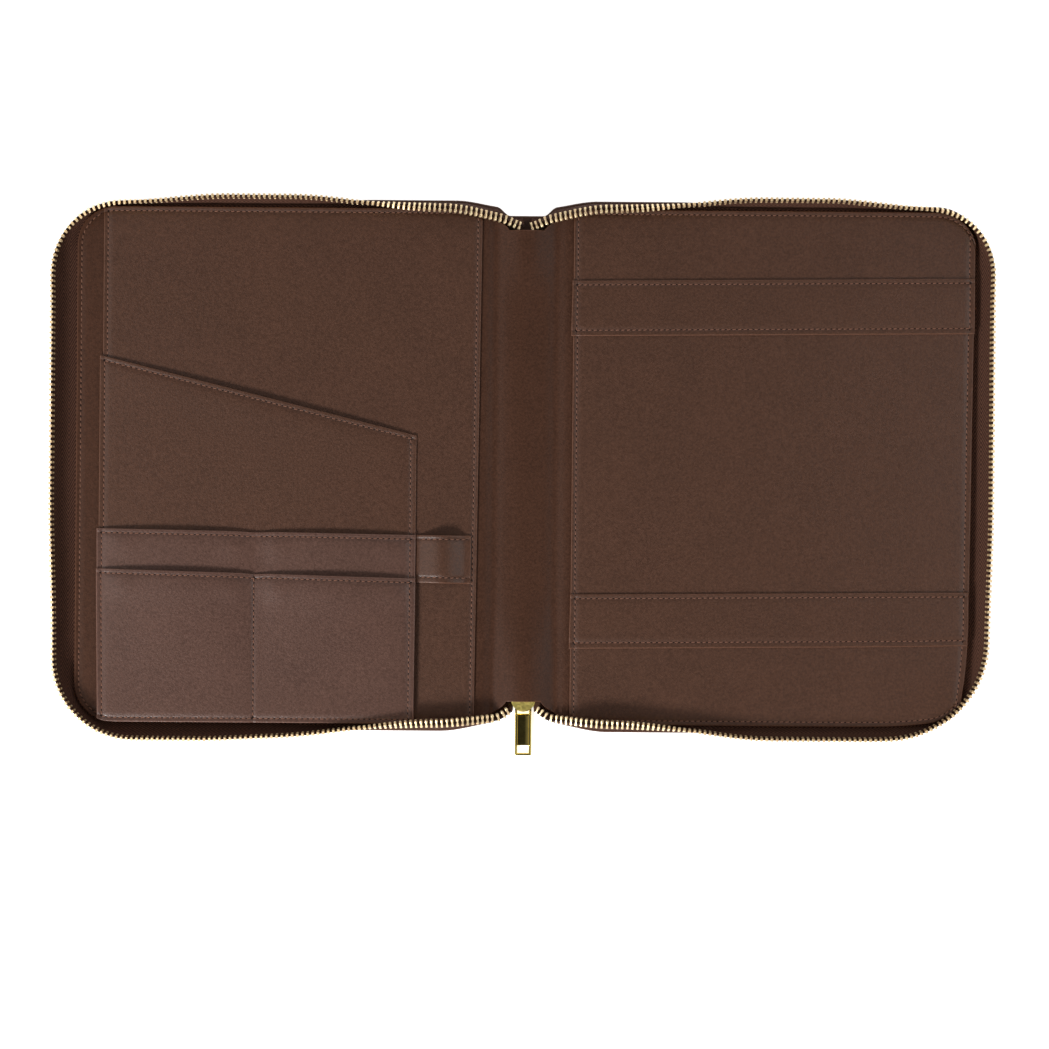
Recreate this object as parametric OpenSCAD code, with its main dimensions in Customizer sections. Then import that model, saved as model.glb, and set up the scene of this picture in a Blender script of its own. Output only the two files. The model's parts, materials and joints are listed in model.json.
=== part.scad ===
// Zip-around portfolio case, lying open and flat with its inside up.
// The middle of the spine is on X = 0, the covers lie to either side, and the outer faces are on Z = 0.
// u is the distance from the spine's middle: the front cover is drawn on +X and mirrored.

/* [Case] */
// From the middle of the spine to the fore-edge of each cover
cover_reach = 273.5; // [266:0.5:280]
// Height of the covers
case_h = 317; // [312:1:322]
// Radius of the outer corners of the covers
corner_r = 27; // [22:1:32]
// Distance between the two fold lines of the spine
spine_w = 29; // [28:1:31]
// Length of the outer spine leather
spine_len = 300; // [298:1:304]

/* [Layers] */
// Thickness of the outer leather
leather_t = 1.2; // [1:0.1:1.4]
// Thickness of the cover boards
board_t = 2; // [1.8:0.1:2.2]
// Thickness of the foam under the lining
foam_t = 2; // [1.8:0.1:2.2]
// Thickness of the lining
lining_t = 0.8; // [0.6:0.1:0.9]
// Thickness of one pocket layer
pocket_t = 1; // [0.8:0.1:1.1]

/* [Zip] */
// Distance between the teeth of one row
tooth_pitch = 3.1; // [3:0.05:3.3]
// Size of a tooth along the row
tooth_t = 1.3; // [1.1:0.05:1.3]
// Size of a tooth through the tape
tooth_w = 2.6; // [2.2:0.1:2.8]
// Length of a tooth, from its root on the tape to its tip
tooth_l = 5; // [4.6:0.1:5.2]
// How far the row of teeth overhangs the fore-edge
side_overhang = 7.5; // [6:0.5:12]
// How far the row overhangs the top and bottom edges, half way along them
end_overhang = 3.2; // [2.6:0.2:6]
// How far the row draws in from there to the spine
row_bow = 8.5; // [5:0.5:9.5]
// Corner radius of the row
row_r = 42; // [38:1:48]
// Where the cover's row begins, from the middle of the spine
row_start = 24.5; // [24:0.5:26]

/* [Pockets] */
// Left and right edges of the document pocket, from the spine
doc_u = [25.2, 253.8];
// Outer and inner edges of the pockets on the document pocket
stack_u = [65.4, 253.4];
// Height of the slanted pocket's mouth at its inner and outer ends
slant_y = [18.6, 66];
// Height of the rear card pocket's mouth at its inner and outer ends
rear_card_y = [-40.8, -36.6];
// Height of the front card pocket's mouth at its inner end, middle and outer end
front_card_y = [-66.4, -63.8, -60.6];
// Inner and outer edges of the pen loop
pen_u = [33, 64.8];
// Lower and upper edges of the pen loop
pen_y = [-69.8, -41];
// Clear height inside the pen loop
pen_gap = 6; // [5:0.5:8]
// Inner and outer edges of the notepad sleeve
sleeve_u = [27.3, 269.3];
// Width of the two bands across the sleeve
band_w = 32.8; // [28:0.2:36]
// Middle of the upper and lower bands
band_y = [94.5, -92.4];

/* [Slider] */
// Radius of the slider's round nose
nose_r = 7.2; // [6.8:0.1:7.2]
// Length of the slider
slider_len = 16; // [15:0.5:17]
// Width of the slider at its tail
tail_w = 9.2; // [8.6:0.2:10]
// Height of the channel that the teeth run in
channel_h = 3; // [2.8:0.1:3.2]
// Thickness of each slider plate
plate_t = 1; // [0.9:0.1:1.1]
// Furthest reach of the nose below the middle of the case
nose_y = 147; // [146:0.5:148]

/* [Pull] */
// Width of the pull
pull_w = 10; // [9:0.5:11]
// From the pull's pivot to its tip
pull_len = 30.4; // [26:0.1:32]
// Thickness of the pull
pull_t = 1.5; // [1.3:0.1:1.6]
// Radius of the pull's crossbar
bar_r = 0.8; // [0.7:0.05:0.85]

/* [Hidden] */
$fn = 48;

LEATHER = "#4e3629";
POCKET = "#6a4d43";
WOVEN = "#2e1c18";
GREYBOARD = "#8c8880";
FOAM = "#c9c2b4";
BRASS = "#e0b868";
GOLD = "#c8b060";

gap = 0.05;                                // between layers that lie on each other
half_h = case_h / 2;
fold_x = spine_w / 2;                      // the two fold lines
fold_z = leather_t;                        // height of the fold lines
row_z = fold_z + spine_w / 2;              // tips of the teeth: the rows meet when the case is shut
seam_z = leather_t + board_t + gap;        // underside of the tape where it is sewn down
tape_t = 0.6;
flange_w = 6;                              // width of the tape that is sewn under the lining
flange_inset = 1.6;                        // from the cover's edge to the sewn tape
lining_inset = flange_inset + 2;           // from the cover's edge to the lining
foam_top = seam_z + foam_t;
lining_z = foam_top + gap;
panel_z = lining_z + lining_t + gap;       // underside of the first pocket layer
layer = pocket_t + gap;
lining_start = 24.5;                       // where the foam and lining of the covers begin
board_start = 20.5;
crease = 0.4;                              // the outer leather stops this far from each fold line
inner_corner_r = 6;                        // of the covers' leather beside the spine
tape_top_z = row_z - tooth_l * 0.55;

// ---------- shapes

// Flat outline of a cover, drawn in by inset at its three free edges
module cover_outline(inset, start, inner_r = 0) {
    w = cover_reach - inset;
    h = half_h - inset;
    r = corner_r - inset;
    translate([start + inner_r, -h]) square([w - r - start - inner_r, 2 * h]);
    translate([start, inner_r - h]) square([w - r - start, 2 * (h - inner_r)]);
    translate([start, r - h]) square([w - start, 2 * (h - r)]);
    for (s = [-1, 1]) {
        translate([w - r, s * (h - r)]) circle(r);
        if (inner_r > 0) translate([start + inner_r, s * (h - inner_r)]) circle(inner_r);
    }
}

module slab(z, t) { translate([0, 0, z]) linear_extrude(t) children(); }

module front() { mirror([1, 0, 0]) children(); }

// Cuts a pocket layer to the outline of the lining that it is sewn to
module sewn_round() {
    intersection() {
        cover_outline(lining_inset + 0.3, lining_start);
        children();
    }
}

module box(u, y, z, t) { translate([u[0], y[0], z]) cube([u[1] - u[0], y[1] - y[0], t]); }

// ---------- the run of the zip round a cover, from the top of the spine to the bottom

function lerp(a, b, t) = a + (b - a) * t;
function arc(cx, cy, r, a0, a1, n) =
    [for (i = [0:n]) [cx + r * cos(lerp(a0, a1, i / n)), cy + r * sin(lerp(a0, a1, i / n))]];

// Half of a rounded rectangle, whose long edges draw in by bow towards both their ends
function bowed(p, start, reach, bow) =
    let (mid = (start + reach) / 2, d = (p[0] - mid) / (mid - start))
    [p[0], p[1] - sign(p[1]) * bow * d * d];
function run(start, reach, h, r, bow) =
    let (flat = [
        for (i = [0:13]) [lerp(start, reach - r, i / 14), h],
        each arc(reach - r, h - r, r, 90, 0, 9),
        for (i = [1:11]) [reach, lerp(h - r, r - h, i / 12)],
        each arc(reach - r, r - h, r, 0, -90, 9),
        for (i = [13:-1:0]) [lerp(start, reach - r, i / 14), -h]
    ])
    [for (p = flat) bowed(p, start, reach, bow * (abs(p[1]) > h - r ? 1 : abs(p[1]) / (h - r)))];

row = run(row_start, cover_reach + side_overhang, half_h + end_overhang, row_r, row_bow);

// The cover's edge drawn in by inset, with as many points as the row
function edge(inset) = run(row_start, cover_reach - inset, half_h - inset, corner_r - inset, 0);
seam = edge(flange_inset);
seam_inner = edge(flange_inset + flange_w);
last = len(row) - 1;

function unit(v) = v / norm(v);
function heading(path, i) = unit(path[min(i + 1, last)] - path[max(i - 1, 0)]);
function outward(path, i) = let (t = heading(path, i)) [-t[1], t[0]];
function at(p, z) = [p[0], p[1], z];

// A point on the tape wall at height z, moved outward by off
function wall(i, z, off) =
    at(lerp(seam[i], row[i], (z - seam_z) / (row_z - seam_z)) + off * outward(row, i), z);

function tape_section(i) = [
    at(seam_inner[i], seam_z),
    at(seam[i], seam_z),
    wall(i, tape_top_z, tape_t / 2),
    wall(i, tape_top_z, -tape_t / 2),
    at(seam[i] - tape_t * outward(seam, i), seam_z + tape_t),
    at(seam_inner[i], seam_z + tape_t)
];

cord_r = 1;
function cord_section(i) =
    [for (a = [0:45:315]) wall(i, tape_top_z, cord_r * cos(a)) + [0, 0, cord_r * sin(a)]];

// Solid through a list of closed sections, all with the same number of points
module loft(sections) {
    n = len(sections[0]);
    m = len(sections);
    polyhedron(
        points = [for (s = sections) each s],
        faces = [
            [for (j = [0:n - 1]) j],
            for (i = [0:m - 2], j = [0:n - 1])
                let (a = i * n + j, b = i * n + (j + 1) % n) each [[a, a + n, b + n], [a, b + n, b]],
            [for (j = [n - 1:-1:0]) (m - 1) * n + j]
        ],
        convexity = 10
    );
}

// Distance along the row to each of its points
function lengths(path, i = 0, sum = 0) =
    i == last ? [sum] : [sum, each lengths(path, i + 1, sum + norm(path[i + 1] - path[i]))];
row_at = lengths(row);

function span(s, lo = 0, hi = last) =
    hi - lo <= 1 ? lo : let (mid = floor((lo + hi) / 2))
        row_at[mid] > s ? span(s, lo, mid) : span(s, mid, hi);

// One tooth, s along the row: it stands in line with the tape that holds it
module tooth_on_row(s) {
    i = span(s);
    f = (s - row_at[i]) / (row_at[i + 1] - row_at[i]);
    p = lerp(row[i], row[i + 1], f);
    lean = p - lerp(seam[i], seam[i + 1], f);
    t = unit(row[i + 1] - row[i]);
    out = [-t[1], t[0]];
    tilt = atan2(lean * out, row_z - seam_z);
    translate([p[0], p[1], row_z])
        rotate([0, 0, atan2(t[1], t[0])])
            rotate([-tilt, 0, 0])
                translate([-tooth_t / 2, -tooth_w / 2, 0.8 - tooth_l])
                    cube([tooth_t, tooth_w, tooth_l]);
}

// phase shifts one cover's teeth by half a pitch, so that the two rows mesh
module tooth_row(phase) {
    count = floor((row_at[last] - 2 * tooth_pitch) / tooth_pitch);
    for (k = [0:count]) tooth_on_row((k + phase) * tooth_pitch);
}

module zip_tape() { loft([for (i = [0:last]) tape_section(i)]); }
module zip_cord() { loft([for (i = [0:last]) cord_section(i)]); }

// ---------- the covers' layers

module outer_leather() {
    slab(0, leather_t) cover_outline(0, fold_x + crease, inner_corner_r);
    slab(leather_t, board_t) difference() {
        cover_outline(0, board_start);
        cover_outline(leather_t, board_start - 1);
    }
}

module board() { slab(leather_t + gap, board_t - gap) cover_outline(leather_t + gap, board_start); }

module foam() {
    slab(seam_z, foam_t) cover_outline(flange_inset + flange_w + 0.5, lining_start);
}

// The lining's turned-under edge is sewn down on the tape
module lining() {
    slab(lining_z, lining_t) cover_outline(lining_inset, lining_start);
    slab(seam_z + tape_t + gap, lining_z - seam_z - tape_t) difference() {
        cover_outline(lining_inset, lining_start);
        cover_outline(flange_inset + flange_w, lining_start - 1);
    }
}

// ---------- front cover, drawn on +X and mirrored

module front_outer_leather() { color(LEATHER) front() outer_leather(); }
module front_board() { color(GREYBOARD) front() board(); }
module front_foam() { color(FOAM) front() foam(); }
module front_lining() { color(LEATHER) front() lining(); }

// A pocket as high as the cover
module full_pocket(u) {
    slab(panel_z, pocket_t) sewn_round() translate([u[0], -half_h]) square([u[1] - u[0], case_h]);
}

module document_pocket() { color(LEATHER) front() full_pocket(doc_u); }

// A pocket on the document pocket, whose mouth runs through the given heights
module stacked_pocket(level, mouth) {
    n = len(mouth) - 1;
    slab(panel_z + level * layer, pocket_t) sewn_round() polygon([
        [stack_u[1], -half_h],
        [stack_u[0], -half_h],
        for (i = [0:n]) [lerp(stack_u[0], stack_u[1], i / n), mouth[i]]
    ]);
}

module slant_pocket() { color(LEATHER) front() stacked_pocket(1, slant_y); }
module rear_card_pocket() { color(POCKET) front() stacked_pocket(2, rear_card_y); }
module front_card_pocket() { color(POCKET) front() stacked_pocket(3, front_card_y); }

// Height of the pen loop's underside across its width
function loop_rise(t) = pen_gap * pow(sin(180 * t), 0.55);

module pen_loop() {
    steps = 20;
    foot = 0.14;                           // share of the width that is sewn down at each end
    t = [for (i = [0:steps]) lerp(foot, 1 - foot, i / steps)];
    under = [for (v = t) [lerp(pen_u[0], pen_u[1], v), loop_rise((v - foot) / (1 - 2 * foot))]];
    color(LEATHER) front()
        translate([0, pen_y[1], panel_z + layer]) rotate([90, 0, 0])
            linear_extrude(pen_y[1] - pen_y[0]) polygon([
                [pen_u[0], 0],
                for (p = under) p,
                [pen_u[1], 0],
                [pen_u[1], pocket_t],
                for (i = [steps:-1:0]) under[i] + [(i / steps - 0.5) * 1.6, pocket_t],
                [pen_u[0], pocket_t]
            ]);
}

module front_zip_tape() { color(WOVEN) front() zip_tape(); }
module front_zip_cord() { color(WOVEN) front() zip_cord(); }
module front_zip_teeth() { color(BRASS) front() tooth_row(0.5); }

// ---------- back cover

module back_outer_leather() { color(LEATHER) outer_leather(); }
module back_board() { color(GREYBOARD) board(); }
module back_foam() { color(FOAM) foam(); }
module back_lining() { color(LEATHER) lining(); }
module notepad_sleeve() { color(LEATHER) full_pocket(sleeve_u); }

module band(y) {
    color(LEATHER) box(sleeve_u, [y - band_w / 2, y + band_w / 2], panel_z + layer, pocket_t);
}

module upper_band() { band(band_y[0]); }
module lower_band() { band(band_y[1]); }
module back_zip_tape() { color(WOVEN) zip_tape(); }
module back_zip_cord() { color(WOVEN) zip_cord(); }
module back_zip_teeth() { color(BRASS) tooth_row(1); }

// ---------- spine

slider_z = 3.4;                            // underside of the slider
channel_z = slider_z + plate_t;
slider_top = channel_z + channel_h + plate_t;
tail_y = slider_len - nose_y;
pivot_y = 3.4 - nose_y;                    // the pull's pivot, on the bridge under the nose
pivot_z = 2.05;
bridge_y = [0.4 - nose_y, 7 - nose_y];
notch = [8.4, spine_len / 2 + bridge_y[1] + 1];   // half width and depth of the cut for the slider

module spine_outer_leather() {
    x = fold_x - crease;
    color(LEATHER) slab(0, leather_t) difference() {
        translate([-x, -spine_len / 2]) square([2 * x, spine_len]);
        translate([-notch[0], -spine_len / 2 - 1]) square([2 * notch[0], notch[1] + 1]);
    }
}

module spine_stiffener() {
    color(GREYBOARD) box([-10, 10], [-132, 142], leather_t + gap, 0.8);
}

// The loose lining arches over the ends of the zip
lining_half = 13.6;
lining_lip = [-141, 142];
arch_h = 8;
function arch(x) = arch_h * (1 - pow(abs(x) / lining_half, 6));
under_lining = 9.4;                        // half width of what lies under the arch

module spine_lining() {
    steps = 24;
    xs = [for (i = [-steps:steps]) i / steps * lining_half];
    inner = 1 - lining_t / lining_half;
    color(LEATHER) translate([0, lining_lip[1], leather_t + gap]) rotate([90, 0, 0])
        linear_extrude(lining_lip[1] - lining_lip[0]) polygon([
            for (x = xs) [x * inner, arch(x)],
            [lining_half, 0],
            for (i = [len(xs) - 1:-1:0]) [xs[i], arch(xs[i]) + lining_t],
            [-lining_half, 0]
        ]);
}

mid_z = channel_z + channel_h / 2;

module tooth(x, y, turn, z = mid_z) {
    translate([x, y, z]) rotate([0, 0, turn])
        translate([-tooth_t / 2, -tooth_l / 2, -tooth_w / 2]) cube([tooth_t, tooth_l, tooth_w]);
}

// Each row runs in towards the spine's middle and under the lip of the lining
module end_tape(near, far, lip) {
    tail = near[1] - sign(lip) * 9;
    for (s = [0, 1]) mirror([s, 0, 0]) slab(mid_z - tape_t / 2, tape_t)
        polygon([near, far, [far[0], lip], [under_lining, lip], [under_lining, tail], [near[0], tail]]);
}

module end_teeth(first, slope, count) {
    for (s = [0, 1], k = [0:count - 1])
        let (dx = (k + s * 0.3) * tooth_pitch)
            mirror([s, 0, 0]) tooth(first[0] + dx, first[1] + sign(first[1]) * slope * dx, 0);
}

end_x = fold_x - 1.6;
top_lip = lining_lip[1] + 0.3;
bottom_lip = lining_lip[0] - 0.3;

module top_tape_ends() { color(WOVEN) end_tape([1.6, 143], [end_x, 149], top_lip); }
module top_end_teeth() { color(BRASS) end_teeth([3.4, 142.6], 0.55, 3); }
module top_stops() {
    color(BRASS) for (s = [-1, 1]) box([s * 3.4 - 1.4, s * 3.4 + 1.4], [130.4, 133.4], mid_z - 1.5, 3);
}
module bottom_tape_ends() { color(WOVEN) end_tape([8.2, -143], [end_x, -146], bottom_lip); }
module bottom_end_teeth() { color(BRASS) end_teeth([9.4, -143.8], 0.5, 1); }
module chain_tail_tape() {
    tape_y = [tail_y + 0.6, tail_y + 17];
    color(WOVEN) box([-under_lining, under_lining], tape_y, mid_z - tape_t / 2, tape_t);
}
module chain_tail_teeth() {
    color(BRASS) for (k = [0:3], s = [-1, 1])
        tooth(s * 1.6, tail_y + 2 + (k + (s + 1) / 4) * tooth_pitch, 90);
}
module bottom_stop() {
    color(BRASS) box([-3.6, 3.6], [tail_y + 14.6, tail_y + 16.4], mid_z - 1.5, 3);
}

// ---------- slider and pull

module slider_outline(inset = 0) {
    translate([0, nose_r - nose_y]) circle(nose_r - inset);
    polygon([
        [-nose_r + inset, nose_r - nose_y], [nose_r - inset, nose_r - nose_y],
        [tail_w / 2 - inset, tail_y], [inset - tail_w / 2, tail_y]
    ]);
}

module slider_body() {
    rail_t = 0.9;
    rail_h = channel_h / 2 - 0.5;
    wedge_r = 2;
    color(GOLD) {
        for (z = [slider_z, channel_z + channel_h]) slab(z, plate_t) slider_outline();
        // rails that hold the tape, behind the mouths where the rows enter
        for (z = [channel_z, channel_z + channel_h - rail_h]) slab(z, rail_h) intersection() {
            difference() { slider_outline(); slider_outline(rail_t); }
            translate([-nose_r, nose_r - nose_y + 1]) square([2 * nose_r, slider_len]);
        }
        translate([0, wedge_r + 1.6 - nose_y, channel_z]) cylinder(h = channel_h, r = wedge_r);
    }
}

module slider_bridge() {
    bridge_w = 4;
    wire = 0.7;
    foot_z = 0.3;
    color(GOLD) translate([-bridge_w / 2, 0, 0]) difference() {
        translate([0, bridge_y[0], foot_z])
            cube([bridge_w, bridge_y[1] - bridge_y[0], slider_z - foot_z]);
        translate([-1, bridge_y[0] + wire, foot_z + wire])
            cube([bridge_w + 2, bridge_y[1] - bridge_y[0] - 2 * wire, slider_z]);
    }
}

module pull_tab() {
    rim = 1.5;
    inner_w = pull_w - 2 * rim;
    loop_in = 5.1;                         // from the pivot to the solid plate
    window = 4.6;                          // length of the window near the tip
    bar_end = 1.5;                         // width of the bar below the window
    droop = asin((pivot_z - pull_t / 2 - 0.1) / pull_len);
    color(GOLD) translate([0, pivot_y, pivot_z]) rotate([droop, 0, 0]) {
        translate([-pull_w / 2, 0, 0]) rotate([0, 90, 0]) cylinder(h = pull_w, r = bar_r);
        difference() {
            translate([-pull_w / 2, -pull_len, -pull_t / 2]) cube([pull_w, pull_len, pull_t]);
            translate([-inner_w / 2, -loop_in, -pull_t]) cube([inner_w, loop_in + 1, 2 * pull_t]);
            translate([-inner_w / 2, bar_end - pull_len, -pull_t]) cube([inner_w, window, 2 * pull_t]);
            // shallow field between the raised side rims
            translate([-inner_w / 2, bar_end + window - pull_len, pull_t / 2 - 0.3])
                cube([inner_w, pull_len, 1]);
        }
    }
}

front_outer_leather();
front_board();
front_foam();
front_lining();
document_pocket();
slant_pocket();
rear_card_pocket();
front_card_pocket();
pen_loop();
front_zip_tape();
front_zip_cord();
front_zip_teeth();
back_outer_leather();
back_board();
back_foam();
back_lining();
notepad_sleeve();
upper_band();
lower_band();
back_zip_tape();
back_zip_cord();
back_zip_teeth();
spine_outer_leather();
spine_stiffener();
spine_lining();
top_tape_ends();
top_end_teeth();
top_stops();
bottom_tape_ends();
bottom_end_teeth();
chain_tail_tape();
chain_tail_teeth();
bottom_stop();
slider_body();
slider_bridge();
pull_tab();
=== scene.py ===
"""Zip-around portfolio case, lying open with its inside up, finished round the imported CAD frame.

Lengths are in metres, except that mm() turns millimetres into them. u is the distance from the
middle of the spine and v runs along it, so a cover is drawn once, on side +1, the back cover, or
mirrored to side -1, the front cover.
"""

import json
import math

import bmesh
import bpy
import numpy as np
from mathutils import Matrix, Vector, noise


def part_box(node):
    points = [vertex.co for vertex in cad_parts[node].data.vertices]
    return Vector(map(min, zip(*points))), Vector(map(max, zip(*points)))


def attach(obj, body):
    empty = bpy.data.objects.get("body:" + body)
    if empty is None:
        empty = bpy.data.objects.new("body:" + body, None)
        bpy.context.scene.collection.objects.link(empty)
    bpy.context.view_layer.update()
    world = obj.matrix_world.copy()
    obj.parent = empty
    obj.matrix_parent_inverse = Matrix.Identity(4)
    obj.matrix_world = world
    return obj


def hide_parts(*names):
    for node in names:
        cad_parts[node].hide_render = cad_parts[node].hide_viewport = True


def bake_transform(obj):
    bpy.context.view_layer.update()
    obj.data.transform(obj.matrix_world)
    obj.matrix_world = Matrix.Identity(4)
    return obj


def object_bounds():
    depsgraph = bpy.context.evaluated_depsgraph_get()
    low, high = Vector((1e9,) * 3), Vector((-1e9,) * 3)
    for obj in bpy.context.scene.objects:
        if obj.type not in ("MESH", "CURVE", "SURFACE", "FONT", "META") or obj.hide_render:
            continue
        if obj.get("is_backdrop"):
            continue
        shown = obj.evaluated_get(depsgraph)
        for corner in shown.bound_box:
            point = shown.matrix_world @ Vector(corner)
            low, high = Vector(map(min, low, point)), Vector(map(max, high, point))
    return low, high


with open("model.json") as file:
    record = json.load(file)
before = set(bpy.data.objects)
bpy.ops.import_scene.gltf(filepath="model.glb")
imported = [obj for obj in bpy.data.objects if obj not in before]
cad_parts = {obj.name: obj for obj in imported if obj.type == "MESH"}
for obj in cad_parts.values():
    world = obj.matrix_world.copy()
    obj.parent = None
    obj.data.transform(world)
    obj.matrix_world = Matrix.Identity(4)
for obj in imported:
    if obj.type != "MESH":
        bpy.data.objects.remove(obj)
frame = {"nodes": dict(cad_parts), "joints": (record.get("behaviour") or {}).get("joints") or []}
CAD_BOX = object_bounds()
NODES = frame["nodes"]
SIDES = {"front": -1, "back": 1}


def mm(*values):
    return values[0] / 1000 if len(values) == 1 else tuple(v / 1000 for v in values)


def low(node, axis):
    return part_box(node)[0][axis]


def high(node, axis):
    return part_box(node)[1][axis]


def smooth(t):
    t = np.clip(t, 0, 1)
    return t * t * (3 - 2 * t)


def ease(value, start, end):
    """Runs smoothly from 0 to 1 while value runs from start to end, which are in millimetres."""
    return smooth((value - mm(start)) / mm(end - start))


def bell(distance, width):
    return np.exp(-((distance / width) ** 2))


def lerp(a, b, t):
    return a + (b - a) * t


def unit(v):
    return v / np.linalg.norm(v, axis=-1, keepdims=True)


def lengths_along(path):
    """Distance along a line of points, at each of them."""
    return np.append(0, np.cumsum(np.linalg.norm(np.diff(path, axis=0), axis=1)))


def joint_place(name):
    return next(j for j in frame["joints"] if j["name"] == name)["pos_m"]


# ------------------------ sizes, from the frame

REACH = high("back_outer_leather", 0)  # fore-edge of the covers
HALF_H = high("back_outer_leather", 1)
CORNER_R = mm(27)
LINING_INSET = REACH - high("back_lining", 0)
LINING_TOP = high("back_lining", 2)
FOLD = joint_place("spine_fold")
ROW_Z = FOLD[0] + FOLD[2]  # tips of the teeth, where the two rows meet when the case is shut
SEAM_Z = low("back_zip_tape", 2)
PANEL_Z = low("document_pocket", 2)
LAYER_T = high("document_pocket", 2) - PANEL_Z
LAYER = low("slant_pocket", 2) - PANEL_Z  # from one layer of the pockets to the next
STITCH = mm(3.3)  # from one stitch to the next
SEAM = mm(2.6)  # from an edge to its stitches


# ------------------------ meshes


def shade_smooth(mesh, sharp):
    """Smooth shading, except at edges sharper than that many degrees."""
    mesh.polygons.foreach_set("use_smooth", [True] * len(mesh.polygons))
    mesh.set_sharp_from_angle(angle=math.radians(sharp))


def add_object(name, data):
    obj = bpy.data.objects.new(name, data)
    bpy.context.scene.collection.objects.link(obj)
    return obj


def new_object(name, mesh, material):
    shade_smooth(mesh, 50)
    mesh.materials.append(material)
    return add_object(name, mesh)


def turn_outward(mesh, weld=0.0):
    """Turns a closed mesh's faces outward, once the points within weld of each other are one."""
    bm = bmesh.new()
    bm.from_mesh(mesh)
    if weld:
        bmesh.ops.remove_doubles(bm, verts=bm.verts, dist=weld)
        bmesh.ops.dissolve_degenerate(bm, edges=bm.edges, dist=1e-7)
    bmesh.ops.recalc_face_normals(bm, faces=bm.faces)
    bm.to_mesh(mesh)
    bm.free()


def new_mesh(name, points, faces):
    mesh = bpy.data.meshes.new(name)
    mesh.from_pydata(np.reshape(points, (-1, 3)).tolist(), [], faces)
    return mesh


def mesh_object(name, points, faces, material, wear_and_highlight=None):
    mesh = new_mesh(name, points, faces)
    if wear_and_highlight is not None:
        # per point, how much paler the leather is made: partly wear, partly a painted edge highlight
        mesh.attributes.new("wear_and_highlight", "FLOAT", "POINT").data.foreach_set("value", wear_and_highlight)
    turn_outward(mesh, weld=2e-6)
    return new_object(name, mesh, material)


def grid_faces(rows, columns, first=0, wrap=False):
    """Faces between rows of points that are numbered on from first."""
    faces = []
    for i in range(rows - 1):
        for j in range(columns if wrap else columns - 1):
            a = first + i * columns + j
            b = first + i * columns + (j + 1) % columns
            faces.append((a, b, b + columns, a + columns))
    return faces


def tube_faces(rings, ring):
    """Faces of a tube of so many rings of so many points, with its two ends."""
    last = (rings - 1) * ring
    ends = [tuple(reversed(range(ring))), tuple(range(last, last + ring))]
    return grid_faces(rings, ring, wrap=True) + ends


def closed_sheet(name, flat, faces, z_top, z_under, material, wear_and_highlight=None):
    """A sheet from its flat points, its faces, the heights of its two sides, and how far its surface
    is made paler at its edges, from 0 to 1: partly wear, partly a painted highlight. Points at one
    place count as one."""
    n = len(flat)
    points = np.vstack([np.column_stack([flat, z_top]), np.column_stack([flat, z_under])])
    nudge = 3.3e-7  # keeps round measures off the rounding's own steps
    place = np.unique(np.round(flat + nudge, 6), axis=0, return_inverse=True)[1].ravel()
    thick = (z_top - z_under) > 1e-5
    edges = {}
    for f in faces:
        for a, b in zip(f, f[1:] + f[:1]):
            edges.setdefault(tuple(sorted((place[a], place[b]))), []).append((a, b))
    outer = [used[0] for (p, q), used in edges.items() if p != q and len(used) == 1]
    sides = [(a, b, b + n, a + n) for a, b in outer if thick[a] or thick[b]]
    under = [tuple(i + n for i in reversed(f)) for f in faces]
    wear_and_highlight = np.zeros(2 * n) if wear_and_highlight is None else np.tile(wear_and_highlight, 2)
    return mesh_object(name, points, list(faces) + under + sides, material, wear_and_highlight)


def cut_sheet(flat, faces):
    """Works out the corners of a sheet's faces and the size of its flat points, and keeps neither."""
    corners = flat[np.array(faces)]
    after = np.roll(corners, -1, axis=1)
    size = tuple(float(span) for span in np.ptp(flat, axis=0))


def edge_wear_and_highlight(distance, width=mm(0.9)):
    """How much paler a sheet is made at a distance from its edge: partly wear, partly a painted
    highlight.
    """
    return 1 - smooth(distance / width)


def round_over(edge, thickness):
    """How far each face of a sheet draws back, at a distance from its rounded edge."""
    r = thickness / 2
    e = np.minimum(edge, r)
    return r - np.sqrt(np.maximum(r * r - (r - e) ** 2, 0))


def ticks(length, step, thickness, near, far):
    """Places across a sheet as (fraction of its length, offset): close together at its rounded
    edges, and at the seams near them, whose distances are in near and far."""
    r = thickness / 2
    rim = [r * (1 - math.cos(a)) for a in np.linspace(0, math.pi / 2, 5)] + [1.7 * r]
    first, last = (
        sorted(rim + [s + d for s in seams for d in mm(-0.9, -0.45, 0.0001, 0.45, 0.9)])
        for seams in (near, far)
    )
    a, b = first[-1] + step / 2, last[-1] + step / 2
    count = max(1, round((length - a - b) / step))
    middle = [(k / count, a - (a + b) * k / count) for k in range(count + 1)]
    return np.array([(0, p) for p in first] + middle + [(1, -p) for p in reversed(last)])


def dip(distance, depth=mm(0.38), width=mm(0.75)):
    """The hollow that a row of stitches pulls down, at a distance from it."""
    return depth * bell(distance, width)


def undulation(x, y):
    """A slow rise and fall of the leather, the same for every layer of a stack."""
    amount, size = mm(0.35, 70)
    x, y = np.broadcast_arrays(x, y)
    values = [noise.noise(Vector((a / size, b / size, 0))) for a, b in zip(x.ravel(), y.ravel())]
    return amount * np.array(values).reshape(x.shape)


def along(path, step, margin, between):
    """Points evenly spaced along a line, or the ends of their spaces, with their directions."""
    path = np.asarray(path, float)
    lengths = lengths_along(path)
    count = max(1, int((lengths[-1] - 2 * margin) / step))
    places = np.arange(count + 1) if between else np.arange(count) + 0.5
    at = margin + places * (lengths[-1] - 2 * margin) / count
    eps = mm(0.5)

    def point(s):
        return np.stack([np.interp(s, lengths, path[:, k]) for k in range(path.shape[1])], 1)

    return point(at), unit(point(at + eps) - point(at - eps))


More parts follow.
